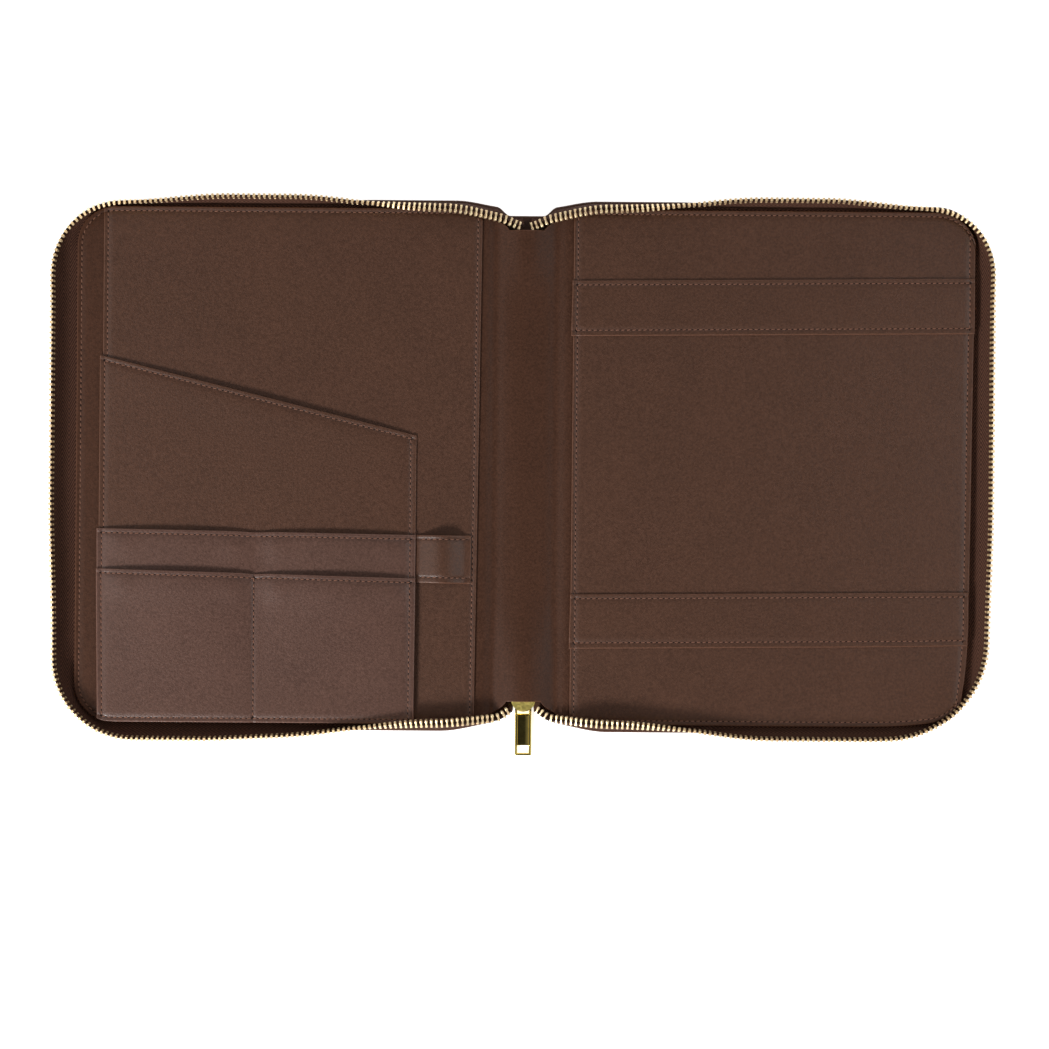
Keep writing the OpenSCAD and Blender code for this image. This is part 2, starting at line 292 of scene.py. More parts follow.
def tube(name, path, radius, material):
    """A closed tube along a line of points."""
    sides = 8
    d = unit(np.gradient(path, axis=0))
    across = unit(np.cross(d, (0, 0, 1.0)))
    up = np.cross(across, d)
    angles = np.linspace(0, 2 * math.pi, sides, endpoint=False)
    rings = [
        path[i] + radius * (np.outer(np.cos(angles), across[i]) + np.outer(np.sin(angles), up[i]))
        for i in range(len(path))
    ]
    return mesh_object(name, np.vstack(rings), tube_faces(len(path), sides), material)


def copies(name, template, faces, origins, frames, material):
    """One mesh of many copies: frames holds each copy's three axes as rows."""
    n = len(template)
    points = np.einsum("pk,ckj->cpj", template, frames) + origins[:, None, :]
    every = [tuple(i + c * n for i in f) for c in range(len(origins)) for f in faces]
    return new_object(name, new_mesh(name, points, every), material)


def capsule(length, radius):
    """A short length of thread with round ends, along X."""
    sides = 6
    stations = [(-0.5, 0.25), (-0.42, 0.75), (-0.2, 1.0), (0.2, 1.0), (0.42, 0.75), (0.5, 0.25)]
    angles = np.linspace(0, 2 * math.pi, sides, endpoint=False)
    points = [
        (s * length, k * radius * math.cos(a), k * radius * math.sin(a))
        for s, k in stations
        for a in angles
    ]
    return np.array(points), tube_faces(len(stations), sides)


def on_seams(lines, margin, slant=0.0, between=False):
    """Places along seams, and the three axes of each, turned by slant from the seam."""
    origins, frames = [], []
    for line in lines:
        p, d = along(line, STITCH, margin, between)
        up = np.tile((0, 0, 1.0), (len(p), 1))
        side = unit(np.cross(up, d))
        x = d * math.cos(slant) + side * math.sin(slant)
        y = unit(np.cross(up, x))
        origins.append(p)
        frames.append(np.stack([x, y, np.cross(x, y)], axis=1))
    return np.vstack(origins), np.vstack(frames)


def sew(name, body, lines):
    """Thread along seams, and flat dark marks between its stitches, painted shade of the needle holes,
    which ride on a body. Each line is a list of points on the surface."""
    margin, slant, proud = mm(1.5), math.radians(9), mm(0.03)
    points, faces = capsule(STITCH * 0.66, mm(0.36))
    origins, frames = on_seams(lines, margin, slant)
    thread = copies(name, points, faces, origins + (0, 0, proud), frames, THREAD)
    # flattened dark capsules at the surface: painted shade of the needle holes
    points, faces = capsule(*mm(1.3, 0.42))
    origins, frames = on_seams(lines, margin, between=True)
    holes = copies(f"{name}_holes", points * (1, 1, 0.2), faces, origins, frames, NEEDLE_HOLE_SHADE)
    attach(thread, body)
    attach(holes, body)


# ------------------------ materials


def node_material(name, roughness, metallic=0.0):
    """A new material, with its tree, its shader, and the place that its textures follow."""
    material = bpy.data.materials.new(name)
    material.use_nodes = True
    tree = material.node_tree
    shader = tree.nodes["Principled BSDF"]
    shader.inputs["Roughness"].default_value = roughness
    shader.inputs["Metallic"].default_value = metallic
    place = tree.nodes.new("ShaderNodeTexCoord").outputs["Object"]
    return material, tree, shader, place


def texture(tree, place, scale, kind="Noise", **inputs):
    node = tree.nodes.new(f"ShaderNodeTex{kind}")
    tree.links.new(place, node.inputs["Vector"])
    node.inputs["Scale"].default_value = scale
    for key, value in inputs.items():
        node.inputs[key].default_value = value
    return node.outputs[0]


def ramp(tree, value, stops, socket):
    """Drives a socket by a colour ramp of (place, colour) stops. A colour may be one number."""
    node = tree.nodes.new("ShaderNodeValToRGB")
    tree.links.new(value, node.inputs["Fac"])
    elements = node.color_ramp.elements
    while len(elements) < len(stops):
        elements.new(0.5)
    for element, (at, colour) in zip(elements, stops):
        element.position = at
        rgb = colour if hasattr(colour, "__len__") else (colour,) * 3
        element.color = (*rgb, 1)
    tree.links.new(node.outputs["Color"], socket)


def maths(tree, operation, a, b):
    node = tree.nodes.new("ShaderNodeMath")
    node.operation = operation
    for socket, value in zip(node.inputs, (a, b)):
        if hasattr(value, "node"):
            tree.links.new(value, socket)
        else:
            socket.default_value = value
    return node.outputs[0]


def bump(tree, shader, height, distance, strength=1.0):
    node = tree.nodes.new("ShaderNodeBump")
    node.inputs["Strength"].default_value = strength
    node.inputs["Distance"].default_value = distance
    tree.links.new(height, node.inputs["Height"])
    tree.links.new(node.outputs["Normal"], shader.inputs["Normal"])


def around(colour, share):
    """A darker and a lighter colour, that share away from a colour."""
    return [c * (1 - share) for c in colour], [min(1, c * (1 + share)) for c in colour]


def leather(name, colour, roughness=0.42, sheen=0.38, edge_wear_highlight_gain=2.0):
    """Smooth coated leather: fine pebbles, broad mottling, a soft sheen, and paler edges, which are
    partly wear and partly a painted highlight along the folded edges.
    """
    material, tree, shader, place = node_material(name, roughness)
    mottle = texture(tree, place, 28, Detail=6, Roughness=0.6)
    speckle = texture(tree, place, 760, Detail=3, Roughness=0.6)
    edge = tree.nodes.new("ShaderNodeAttribute")
    edge.attribute_name = "wear_and_highlight"
    broad = maths(tree, "MULTIPLY", mottle, 0.14)
    fine = maths(tree, "MULTIPLY", speckle, 0.61)
    edge_wear_highlight = maths(tree, "MULTIPLY", edge.outputs["Fac"], 0.45)
    level = maths(tree, "ADD", maths(tree, "ADD", broad, fine), edge_wear_highlight)
    dark, light = around(colour, 0.24)
    # the paler edge colour: partly wear, partly a painted highlight along folded edges
    worn_and_lit_edge_colour = [min(1, c * edge_wear_highlight_gain) for c in colour]
    stops = [(0.26, dark), (0.49, light), (0.90, worn_and_lit_edge_colour)]
    ramp(tree, level, stops, shader.inputs["Base Color"])
    pebbles = texture(tree, place, 1300, "Voronoi", Randomness=1.0)
    creases = texture(tree, place, 380, Detail=5, Roughness=0.65)
    height = maths(tree, "ADD", pebbles, creases)
    bump(tree, shader, height, mm(0.11), 0.8)
    rough = [(0.3, roughness - 0.04), (0.7, roughness + 0.05)]
    ramp(tree, speckle, rough, shader.inputs["Roughness"])
    shader.inputs["Specular IOR Level"].default_value = sheen
    return material


def metal(name, colour, roughness, grain=mm(0.012)):
    """Plated metal with faint unevenness."""
    material, tree, shader, place = node_material(name, roughness, 1.0)
    cloud = texture(tree, place, 260, Detail=4)
    dark, light = around(colour, 0.12)
    ramp(tree, cloud, [(0.3, dark), (0.7, light)], shader.inputs["Base Color"])
    speckle = texture(tree, place, 900, Detail=3)
    rough = [(0.3, roughness * 0.8), (0.7, roughness * 1.3)]
    ramp(tree, speckle, rough, shader.inputs["Roughness"])
    bump(tree, shader, speckle, grain, 0.5)
    return material


def woven_tape(name):
    """Herringbone zip tape. Its UV map holds metres along and across the tape."""
    dark, light = (0.009, 0.0034, 0.0022), (0.105, 0.046, 0.029)
    material, tree, shader, place = node_material(name, 0.85)
    uv = tree.nodes.new("ShaderNodeUVMap")
    uv.uv_map = "run"
    split = tree.nodes.new("ShaderNodeSeparateXYZ")
    tree.links.new(uv.outputs["UV"], split.inputs[0])
    column, rib = mm(4.0, 2.6)
    zigzag = maths(tree, "PINGPONG", split.outputs[1], column)
    line = maths(tree, "ADD", split.outputs[0], maths(tree, "MULTIPLY", zigzag, 2.0))
    wave = maths(tree, "SINE", maths(tree, "MULTIPLY", line, 2 * math.pi / rib), 0)
    level = maths(tree, "ADD", maths(tree, "MULTIPLY", wave, 0.5), 0.5)
    fuzz = texture(tree, place, 1400, Detail=3)
    weave = maths(tree, "MULTIPLY", level, 0.6)
    mixed = maths(tree, "ADD", weave, maths(tree, "MULTIPLY", fuzz, 0.5))
    ramp(tree, mixed, [(0.15, dark), (0.95, light)], shader.inputs["Base Color"])
    bump(tree, shader, mixed, mm(0.3), 0.9)
    shader.inputs["Specular IOR Level"].default_value = 0.12
    return material


def fibre(name, colour, scale=1800):
    """Fibrous stuff: thread, foam or pressed board, by its scale."""
    material, tree, shader, place = node_material(name, 0.85)
    strands = texture(tree, place, scale, Detail=5, Roughness=0.7)
    dark, light = around(colour, 0.3)
    ramp(tree, strands, [(0.3, dark), (0.7, light)], shader.inputs["Base Color"])
    bump(tree, shader, strands, mm(0.12), 0.7)
    shader.inputs["Specular IOR Level"].default_value = 0.2
    return material


OUTER = leather("outer_leather", (0.060, 0.0245, 0.0130), edge_wear_highlight_gain=1.6)
LINING = leather("lining_leather", (0.050, 0.0202, 0.0108), sheen=0.18)
POCKET = leather("pocket_leather", (0.060, 0.0245, 0.0128))
# lighter and greyer than the pocket leather: partly a painted sheen, the light that the puffed card
# slots catch
CARD_WITH_SHEEN = leather("card_leather", (0.079, 0.039, 0.028), roughness=0.36)
TAPE = woven_tape("woven_tape")
THREAD = fibre("thread", (0.165, 0.079, 0.052))
# near black: painted shade of the needle holes between stitches
NEEDLE_HOLE_SHADE = fibre("needle_hole", (0.010, 0.004, 0.0025))
BRASS = metal("tooth_brass", (1.0, 0.75, 0.47), 0.48)
PLATE = metal("matte_gold", (1.0, 0.76, 0.22), 0.38, grain=mm(0.03))
GOLD = metal("polished_gold", (0.93, 0.71, 0.21), 0.10, grain=mm(0.002))
TAPE_PLAIN = fibre("tape_bead", (0.024, 0.010, 0.007), 1600)
GREYBOARD = fibre("greyboard", (0.30, 0.28, 0.25), 500)
FOAM = fibre("foam", (0.55, 0.52, 0.46), 900)


# ------------------------ the covers' outlines


def outline(inset, top_u, arc_steps=10):
    """The top edge of a cover and its corner, drawn in by inset: (u, v) points."""
    w, h = REACH - inset, HALF_H - inset
    r = max(CORNER_R - inset, mm(2))
    s = (np.asarray(top_u) - top_u[0]) / (top_u[-1] - top_u[0])
    flat = np.column_stack([lerp(top_u[0], w - r, s), np.full(len(s), h)])
    a = np.radians(np.linspace(90, 0, arc_steps + 1))[1:]
    corner = np.column_stack([w - r + r * np.cos(a), h - r + r * np.sin(a)])
    return np.vstack([flat, corner])


def edge_shift(u, v):
    """How far the outer leather's edge stands out from a straight one beside the spine."""
    top = mm(1.7) * ease(u, 140, 90) - mm(5.0) * ease(u, 18, 10) - mm(3.9) * ease(u, 42, 12)
    bottom = mm(1.0) * ease(u, 150, 100) - mm(6.1) * ease(u, 20, 7) - mm(5.9) * ease(u, 50, 10)
    return np.where(np.asarray(v) > 0, top, bottom)


def cover_net(rings, top_u):
    """Flat points and faces of a cover: rings at the given insets, then a grid inside them.

    Returns the points, their faces, and each point's place in rings, where -1, the last one,
    also stands for the grid."""
    step = mm(3.8)
    end = REACH - CORNER_R
    top_u = np.append(top_u[top_u < end - step / 2], end)
    side_steps = round(2 * (HALF_H - CORNER_R) / step)
    points, level = [], []
    for k, inset in enumerate(rings):
        top = outline(inset, top_u)
        side_v = np.linspace(top[-1, 1], -top[-1, 1], side_steps + 1)[1:-1]
        fore_edge = np.column_stack([np.full(len(side_v), REACH - inset), side_v])
        loop = np.vstack([top, fore_edge, (top * (1, -1))[::-1]])
        points.append(loop)
        level += [k] * len(loop)
    n = len(points[0])
    faces = grid_faces(len(rings), n)
    first = len(rings) * n
    for t in np.linspace(0, 1, side_steps + 1):
        points.append(top * (1, 1 - 2 * t))
        level += [-1] * len(top)
    faces += grid_faces(side_steps + 1, len(top), first)
    return np.vstack(points), faces, np.array(level)


def curl(flat, side):
    """Draws the lower outer corner of the back cover in, and gives the heights that it lifts."""
    if side < 0:
        return flat, np.zeros(len(flat))
    corner = np.array([REACH, -HALF_H])
    near = bell(np.linalg.norm(flat - corner, axis=1), mm(34))
    return flat + near[:, None] * mm(-5.0, 5.0), mm(3.6) * near


# ------------------------ the zip's run

# the soft rows lie a little differently on the two covers
ROW_REACH = {-1: REACH + mm(10.2), 1: REACH + mm(5.9)}
ROW_TOP, ROW_BOTTOM = HALF_H + mm(2.3), HALF_H + mm(3.8)


def row_dip(side, u, below):
    """How far the tips lie inside the row's furthest line, towards the spine and the corner."""
    neck = mm(48)  # within this of the spine's middle the rows draw in faster
    inner = np.maximum(neck - u, 0)
    if below:
        near_spine = mm(11.1) * ease(u, 150, 45)
        last = mm(4.2) * ease(u, 17, 8)
        lean = mm(-2.4) * ease(u, 130, 200) if side < 0 else mm(1.6) * ease(u, 205, 255)
        return near_spine + 0.088 * inner + last + lean
    near_spine = mm(9.2) * ease(u, 140, 45)
    corner = mm(5.4 if side < 0 else 6.0) * ease(u, 178, 253)
    last = mm(2.0) * ease(u, 15, 4)
    return near_spine + mm(8.6) * (inner / neck) ** 1.3 + corner + last


def zip_run(side):
    """Tips of the teeth round a cover, from the top of the spine to its bottom: (u, v, z)."""
    r_top, r_bottom = mm(43, 48) if side < 0 else mm(39, 58)
    turn = np.radians(np.linspace(90, 0, 17))
    w = ROW_REACH[side]
    parts = []
    for sign, h, r, u_end in ((1, ROW_TOP, r_top, mm(2.8)), (-1, ROW_BOTTOM, r_bottom, mm(8.3))):
        inner = np.linspace(u_end, mm(40), 16)
        outer = np.linspace(mm(44), w - r, 48)[:-1]
        u = np.concatenate([inner, outer, w - r + r * np.cos(turn)])
        v = np.concatenate([np.full(len(inner) + len(outer), h), h - r + r * np.sin(turn)])
        weight = np.clip(v / (h - r), 0, 1)
        part = np.column_stack([u, sign * (v - row_dip(side, u, sign < 0) * weight)])
        parts.append(part[::sign])
    fore = np.linspace(ROW_TOP - r_top, r_bottom - ROW_BOTTOM, 58)[1:-1]
    above = np.clip(fore / (ROW_TOP - r_top), 0, 1)
    under = np.clip(fore / (r_bottom - ROW_BOTTOM), 0, 1)
    fore_v = fore - row_dip(side, w, False) * above + row_dip(side, w, True) * under
    run = np.vstack([parts[0], np.column_stack([np.full(len(fore), w), fore_v]), parts[1]])
    run[:, 0] -= mm(2.0) * ease(run[:, 1], -20, -110) * ease(run[:, 0], 60, 220)
    z = lerp(mm(6.2), ROW_Z, ease(run[:, 0], 4, 42))
    return np.column_stack([run, z])


TIPS = {side: zip_run(side) for side in SIDES.values()}


def zip_frames(tips):
    """For each point of the run: direction along it, outward in the flat, and each tooth's own
    direction from root to tip."""
    d = unit(np.gradient(tips, axis=0))
    flat = unit(d * (1, 1, 0))
    out = np.column_stack([-flat[:, 1], flat[:, 0], np.zeros(len(tips))])
    out *= np.where((out[:, :2] * tips[:, :2]).sum(1) < 0, -1, 1)[:, None]
    u, v = tips[:, 0], tips[:, 1]
    # degrees from upright; the teeth lean in beside the spine and at the upper corner
    inward = 78 * ease(u, 112, 34)
    outward = 5 * ease(u, 60, 120)
    corner = bell(np.hypot(u - mm(258), v - mm(146)), mm(30))
    tilt = np.radians(inward - outward * (1 - corner) + 24 * corner)
    tooth = -np.sin(tilt)[:, None] * out + np.cos(tilt)[:, None] * (0, 0, 1)
    tooth = unit(tooth - d * (tooth * d).sum(1)[:, None])
    return d, out, tooth


TOOTH_L, TOOTH_T, TOOTH_W = mm(5.0, 1.6, 2.7)  # root to tip, along the row, through the tape
PITCH = mm(3.1)  # from one tooth to the next


def seam_run(tips, side):
    """The seam that the tape rises from, below each point of the run."""
    u, v = tips[:, 0], tips[:, 1]
    inset = mm(1.9)
    w, h, r = REACH - inset, HALF_H - inset, CORNER_R - inset
    # nearest place on the rounded outline, along the outward direction of a smaller core
    cu, cv = w - r, h - r
    core_u = np.minimum(u, cu)
    core_v = np.clip(v, -cv, cv)
    away = np.column_stack([u - core_u, v - core_v])
    away = unit(np.where(np.abs(away).sum(1)[:, None] < 1e-9, (1.0, 0.0), away))
    base = np.column_stack([core_u, core_v]) + r * away
    base[:, 1] += np.sign(base[:, 1]) * edge_shift(base[:, 0], base[:, 1])
    z = np.full(len(u), SEAM_Z + mm(0.4))
    z -= mm(1.4) * ease(u, 28, 6)
    base, lift = curl(base, side)
    return np.column_stack([base, z + lift])


def tape(side, name):
    """The woven tape, from under the lining up to the teeth, and the bead along its edge."""
    tips = TIPS[side]
    d, out, tooth = zip_frames(tips)
    base = seam_run(tips, side)
    root = tips - tooth * (TOOTH_L - mm(1.6))
    reach = np.linalg.norm(root - base, axis=1)[:, None]
    slack = 0.22 + 0.2 * ease(tips[:, :1], 40, 110)
    knee = root - tooth * reach * slack
    under = base - out * mm(5.0)
    under[:, 2] = base[:, 2] - mm(0.1)
    profile = [under, base - out * mm(1.2)]
    for t in np.linspace(0, 1, 11):
        profile.append(base * (1 - t) ** 2 + 2 * knee * t * (1 - t) + root * t * t)
    profile = np.stack(profile, axis=1)
    across = np.gradient(profile, axis=1)
    normal = unit(np.cross(across, d[:, None, :]))
    half = mm(0.28)
    section = np.concatenate([profile + normal * half, (profile - normal * half)[:, ::-1]], axis=1)
    section[:, :, 0] *= side
    stations, ring = section.shape[:2]
    run = lengths_along(tips)
    steps = np.diff(profile, axis=1, prepend=profile[:, :1])
    width = np.cumsum(np.linalg.norm(steps, axis=2), axis=1)
    mesh = new_mesh(name, section, tube_faces(stations, ring))
    uv = mesh.uv_layers.new(name="run")
    across_at = np.concatenate([width, width[:, ::-1]], axis=1).ravel()
    along_at = np.repeat(run, ring)
    index = np.array([loop.vertex_index for loop in mesh.loops])
    uv.data.foreach_set("uv", np.column_stack([along_at[index], across_at[index]]).ravel())
    turn_outward(mesh)
    obj = new_object(name, mesh, TAPE)
    bead_path = (root - tooth * mm(0.1)) * (side, 1, 1)
    bead = tube(name.replace("tape", "bead"), bead_path, mm(0.85), TAPE_PLAIN)
    return obj, bead


def tooth_shape():
    """A zip tooth: X along the row, Y from root to tip, Z through the tape."""
    half = TOOTH_T / 2
    flank = [
        (0.80, 0.0), (0.86, 0.18), (0.78, 0.36), (0.62, 0.50), (0.80, 0.62),
        (1.00, 0.76), (0.94, 0.90), (0.55, 1.0),
    ]
    loop = [(x * half, y * TOOTH_L) for x, y in flank]
    loop += [(-x, y) for x, y in reversed(loop)]
    # places through the tape, and how far the outline has shrunk there
    levels = [(-1.0, 0.72), (-0.82, 1.0), (0.82, 1.0), (1.0, 0.72), (1.0, 0.42), (0.86, 0.3)]
    mid = np.array([0, TOOTH_L * 0.5])
    points = []
    for z, k in levels:
        for x, y in loop:
            q = mid + (np.array([x, y]) - mid) * (k, 1 - (1 - k) * 0.35)
            thin = 1 - 0.16 * y / TOOTH_L
            points.append((q[0], q[1], z * thin * TOOTH_W / 2))
    return np.array(points), tube_faces(len(levels), len(loop))


def teeth(side, name, phase):
    """A row of teeth, set back from the other row by phase, a share of their pitch."""
    tips = TIPS[side]
    d, _, tooth = zip_frames(tips)
    lengths = lengths_along(tips)
    at = np.arange(0.3 + phase, lengths[-1] / PITCH - 0.1) * PITCH

    def sample(values):
        return np.stack([np.interp(at, lengths, values[:, k]) for k in range(3)], 1)

    p, x, y = sample(tips), unit(sample(d)), unit(sample(tooth))
    z = unit(np.cross(x, y))
    y = np.cross(z, x)
    origins = (p - y * TOOTH_L) * (side, 1, 1)
    frames = np.stack([x, y, z], axis=1) * (side, 1, 1)
    points, faces = tooth_shape()
    if side < 0:
        faces = [tuple(reversed(f)) for f in faces]
    return copies(name, points, faces, origins, frames, BRASS)


# ------------------------ floor, camera, lights


def add_camera():
    """Straight above, as the photograph was taken; the frame is 632 mm wide on the floor."""
    width, distance = mm(632.8), 1.5
    data = bpy.data.cameras.new("camera")
    data.sensor_width = 36
    data.lens = 36 * distance / width
    obj = add_object("camera", data)
    obj.location = (mm(-0.1), mm(-34.7), distance)
    obj.rotation_euler = (0, 0, math.radians(0.45))
    bpy.context.scene.camera = obj


def add_light(name, location, size, power):
    """A rectangular lamp that looks at the origin."""
    data = bpy.data.lights.new(name, "AREA")
    data.shape = "RECTANGLE"
    data.size, data.size_y = size
    data.energy = power
    obj = add_object(name, data)
    obj.location = location
    obj.rotation_euler = (-Vector(location)).to_track_quat("-Z", "Y").to_euler()


def add_floor():
    """A white floor that shines a little, so that it stays white all over."""
    material, tree, shader, place = node_material("floor", 0.9)
    shader.inputs["Emission Color"].default_value = (1, 1, 1, 1)
    shader.inputs["Emission Strength"].default_value = 0.7
    cloud = texture(tree, place, 3, Detail=3)
    ramp(tree, cloud, [(0.3, 0.90), (0.7, 0.92)], shader.inputs["Base Color"])
    s = 7.0  # half of its side
    corners = [(-s, -s, 0), (s, -s, 0), (s, s, 0), (-s, s, 0)]
    obj = new_object("floor", new_mesh("floor", corners, [(0, 1, 2, 3)]), material)
    obj.location.z = mm(-0.3)
    obj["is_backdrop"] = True


def add_world():
    """A white studio, dim overhead and towards the spine's two ends, so that flat faces stay deep
    and only the outer parts of the covers catch the sheen of its sides."""
    world = bpy.data.worlds.new("studio")
    bpy.context.scene.world = world
    world.use_nodes = True
    tree = world.node_tree
    split = tree.nodes.new("ShaderNodeSeparateXYZ")
    tree.links.new(tree.nodes.new("ShaderNodeTexCoord").outputs["Generated"], split.inputs[0])
    across = maths(tree, "ABSOLUTE", split.outputs[0], 0)
    lengthwise = maths(tree, "MULTIPLY", maths(tree, "ABSOLUTE", split.outputs[1], 0), 0.55)
    aside = maths(tree, "MAXIMUM", across, lengthwise)
    background = tree.nodes["Background"]
    ramp(tree, aside, [(0.10, 0.05), (0.52, 1.0)], background.inputs["Color"])
    background.inputs["Strength"].default_value = 0.40


bpy.context.scene.view_settings.view_transform = "Standard"
add_camera()
add_floor()
add_world()
add_light("key", (-0.95, -1.3, 0.95), (0.5, 0.4), 45)
add_light("fill_left", (-0.9, 0.1, 0.7), (0.5, 0.9), 1.6)
add_light("fill_right", (0.85, 0.05, 0.6), (0.5, 0.9), 2.8)
add_light("fill_top", (0.1, 1.1, 0.6), (0.9, 0.5), 2.0)


# ------------------------ outer leather

NOTCH_U, NOTCH_V = mm(5.5, 138.5)  # half width of the slider's notch, and where it ends
# places across half of the case, closest where it bends
TICKS = np.concatenate([np.arange(0, 16, 0.8), np.arange(16, 30, 1.6), np.arange(30, 248, 3.8)]) / 1000


def with_spine(side, node, *spine_nodes):
    """The nodes that a piece stands for: the back cover's piece takes the spine's nodes too."""
    return [node, *spine_nodes] if side > 0 else [node]


def across_fold(piece, side, near, far):
    """Bakes the piece's transform into its mesh; near and far are not used."""
    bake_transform(piece)


def outer_warp(flat):
    """Draws the straight edge in beside the spine, with a notch for the slider at the bottom."""
    out = flat.copy()
    u, v = flat.T
    edge = HALF_H + edge_shift(u, v)
    notch = (1 - smooth((u - NOTCH_U) / mm(0.9))) * (v < 0)
    edge -= (edge - NOTCH_V) * notch
    out[:, 1] *= edge / HALF_H
    return out


def outer_leather(cover):
    """Half of the hide: one cover's and half of the spine's, with its edge turned up and in."""
    side = SIDES[cover]
    # places from the crest inwards, and the heights of both faces there
    rings = np.array(mm(0, 0.12, 0.4, 0.8, 1.3, 1.9, 2.25, 2.3, 6))
    inside = np.array(mm(1.7, 2.6, 3.05, 3.2, 3.17, 3.12, 3.1, 1.2, 1.2))
    outside = np.array(mm(1.7, 1.0, 0.45, 0.18, 0.04, 0, 0, 0, 0))
    # the same beside the spine, where the edge is not turned up
    low_inside = np.array(mm(0.6, 1.0, 1.15, 1.2, 1.2, 1.2, 1.2, 1.2, 1.2))
    low_outside = np.array(mm(0.6, 0.2, 0.06, 0, 0, 0, 0, 0, 0))
    flat, faces, level = cover_net(rings, TICKS)
    near_spine = ease(flat[:, 0], 26, 12)
    flat, lift = curl(outer_warp(flat), side)
    rise = lerp(inside[level], low_inside[level], near_spine) + lift
    fall = lerp(outside[level], low_outside[level], near_spine) + lift
    # the crest is made paler: partly wear, partly a painted highlight that lightens the band shaded by
    # the teeth
    crest = edge_wear_and_highlight(rings[level], mm(1.4))
    piece = closed_sheet(f"{cover}_leather", flat * (side, 1), faces, rise, fall, OUTER, crest)
    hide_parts(*with_spine(side, f"{cover}_outer_leather", "spine_outer_leather"))
    cut_sheet(flat, faces)
    across_fold(piece, side, *mm(9, 21))


# ------------------------ lining

LINING_T = mm(0.7)
LIP_TOP, LIP_BOTTOM = high("spine_lining", 1), -low("spine_lining", 1)


def lining_edge(u, v):
    """Half height of the lining at u: it draws in to its free lips at the spine."""
    lip = np.where(v > 0, LIP_TOP, LIP_BOTTOM)
    return lerp(lip, HALF_H - LINING_INSET, np.clip((u - mm(10.6)) / mm(23.4), 0, 1) ** 0.65)


def lining_warp(flat, side):
    """Draws the lining in beside the spine, and at the foot of the back cover's fore-edge."""
    out = flat.copy()
    u, v = flat.T
    out[:, 1] *= lining_edge(u, v) / (HALF_H - LINING_INSET)
    if side > 0:
        out[:, 0] -= mm(3.2) * ease(u, 180, 265) * (HALF_H - v) / (2 * HALF_H)
    return out


def lining_z(side):
    """Height of the lining's middle layer: flat on the covers, sunk a little at the folds, and
    arched over the spine's fittings."""

    def z(u, v):
        x = side * u
        over = ease(u, 12, 25)
        base = LINING_TOP - mm(0.5)
        middle = mm(1.0) * bell(x + mm(2) + 0.02 * v, mm(10))
        top = mm(3.4) * np.exp(-((np.abs(x) / mm(11.5)) ** 2.6))
        bottom = mm(4.95) * np.exp(-((np.abs(x) / mm(14)) ** 2.4))
        crown = np.where(v > 0, top, bottom)
        ends = np.where(v > 0, ease(v, 96, 132), ease(v, -68, -131))
        spine = base - mm(0.5) + lerp(middle, crown, ends)
        valley = mm(1.2) * bell(u - mm(18.5), mm(4.2))
        return lerp(spine, base, over) - valley + undulation(x, v)

    return z


def lining(cover):
    """Half of the lining: one cover's and half of the spine's."""
    side = SIDES[cover]
    rings = np.array(mm(0, 0.05, 0.12, 0.22, 0.35, 0.8, 1.6, 2.1, 2.6, 3.1, 3.6, 6))
    flat, faces, level = cover_net(rings + LINING_INSET, TICKS)
    edge = rings[level]
    half = LINING_T / 2 - round_over(edge, LINING_T)
    seam = dip(edge - SEAM) * ease(flat[:, 0], 24, 36)
    flat = lining_warp(flat, side)
    z = lining_z(side)(*flat.T) - seam
    flat, lift = curl(flat, side)
    z = z + lift
    name, wear_and_highlight = f"{cover}_lining_skin", edge_wear_and_highlight(edge)
    piece = closed_sheet(name, flat * (side, 1), faces, z + half, z - half, LINING, wear_and_highlight)
    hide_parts(*with_spine(side, f"{cover}_lining", "spine_lining"))
    cut_sheet(flat, faces)
    across_fold(piece, side, *mm(8, 22))


for cover_name in SIDES:
    outer_leather(cover_name)
    lining(cover_name)


# ------------------------ pockets and bands

CREASE = mm(0.55, 1.0)  # depth and width of the hollow at a seam down a panel's middle


def sewn_edge(sign):
    """The edge of a pocket that is sewn in with the lining: y over x."""

    def y(x):
        u = np.abs(x)
        r, start = CORNER_R - LINING_INSET, REACH - CORNER_R
        past = np.clip(u - start, 0, r - mm(0.2))
        corner = r - np.sqrt(r * r - past * past)
        return sign * (lining_edge(u, sign) - corner - mm(0.25))

    return y


def straight(x0, y0, x1, y1):
    """The line through two points, as y over x."""
    return lambda x: y0 + (y1 - y0) * (x - x0) / (x1 - x0)


def flat_stack(level):
    """Height of the middle of a layer that lies on the lining."""
    return lambda x, y: PANEL_Z + LAYER_T / 2 + level * LAYER + undulation(x, y)


